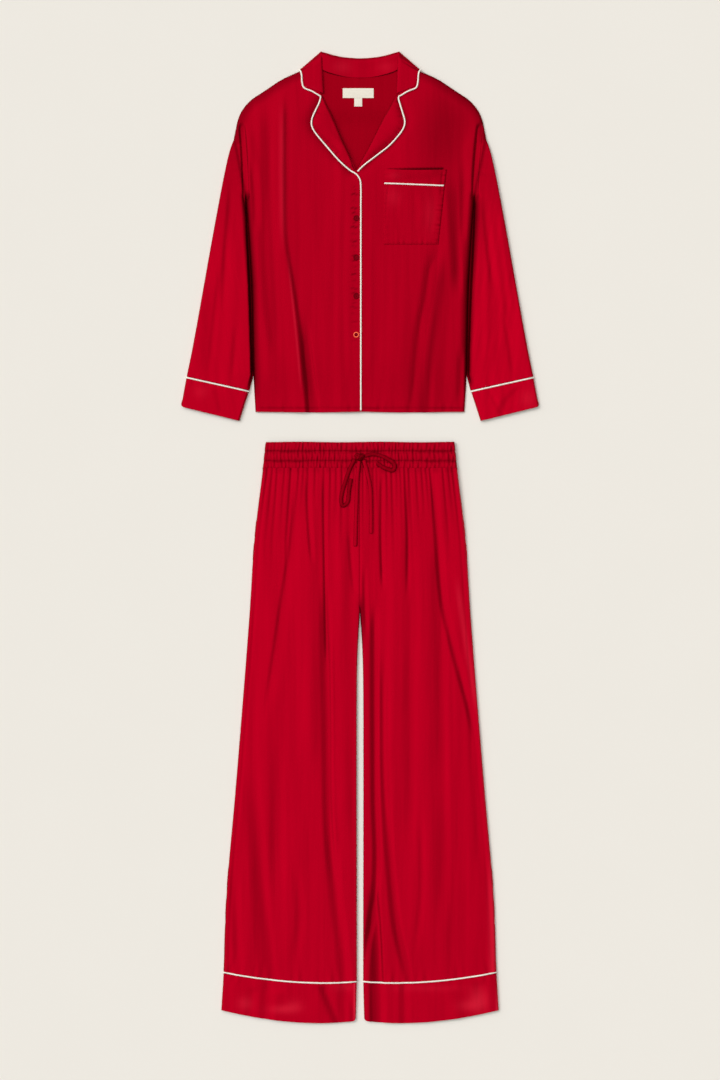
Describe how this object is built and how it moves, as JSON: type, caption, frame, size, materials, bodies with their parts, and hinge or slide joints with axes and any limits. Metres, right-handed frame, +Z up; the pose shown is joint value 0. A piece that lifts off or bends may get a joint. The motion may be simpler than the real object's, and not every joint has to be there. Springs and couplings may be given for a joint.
{
  "type": "pyjama set",
  "caption": "Satin pyjama set laid flat: a long-sleeved shirt with notched collar, piping, pocket and cuffs, and wide trousers with a ruched elastic waist, a tied bow and piped hems.",
  "frame": {"origin": "centre of the set's outline, on the surface that it lies on", "axes": "+Y from the trouser hems to the collar, +Z up out of the surface, +X to the viewer's right, which is the wearer's left"},
  "size_m": [0.6436, 1.7461, 0.0191],
  "materials": {
    "satin": "satin",
    "piping": "satin",
    "button": "gloss",
    "label": "matt"
  },
  "bodies": {
    "root": {"shirt_back": "satin", "shirt_front_right": "satin", "shirt_front_left": "satin", "lapel_right": "satin", "lapel_left": "satin", "collar": "satin", "sleeve_right": "satin", "sleeve_left": "satin", "cuff_right": "satin", "cuff_left": "satin", "pocket": "satin", "pocket_band": "satin", "trouser_front_right": "satin", "trouser_front_left": "satin", "trouser_back_right": "satin", "trouser_back_left": "satin", "waistband": "satin", "hem_band_right": "satin", "hem_band_left": "satin", "tie_knot": "satin", "tie_loop_right": "satin", "tie_loop_left": "satin", "tie_tail_right": "satin", "tie_tail_left": "satin", "piping_front": "piping", "piping_lapel_left": "piping", "piping_collar": "piping", "piping_pocket": "piping", "piping_cuff_right": "piping", "piping_cuff_left": "piping", "piping_hem_right": "piping", "piping_hem_left": "piping", "button_1": "button", "button_2": "button", "button_3": "button", "button_4": "button", "neck_label": "label", "size_tab": "label"}
  },
  "joints": []
}
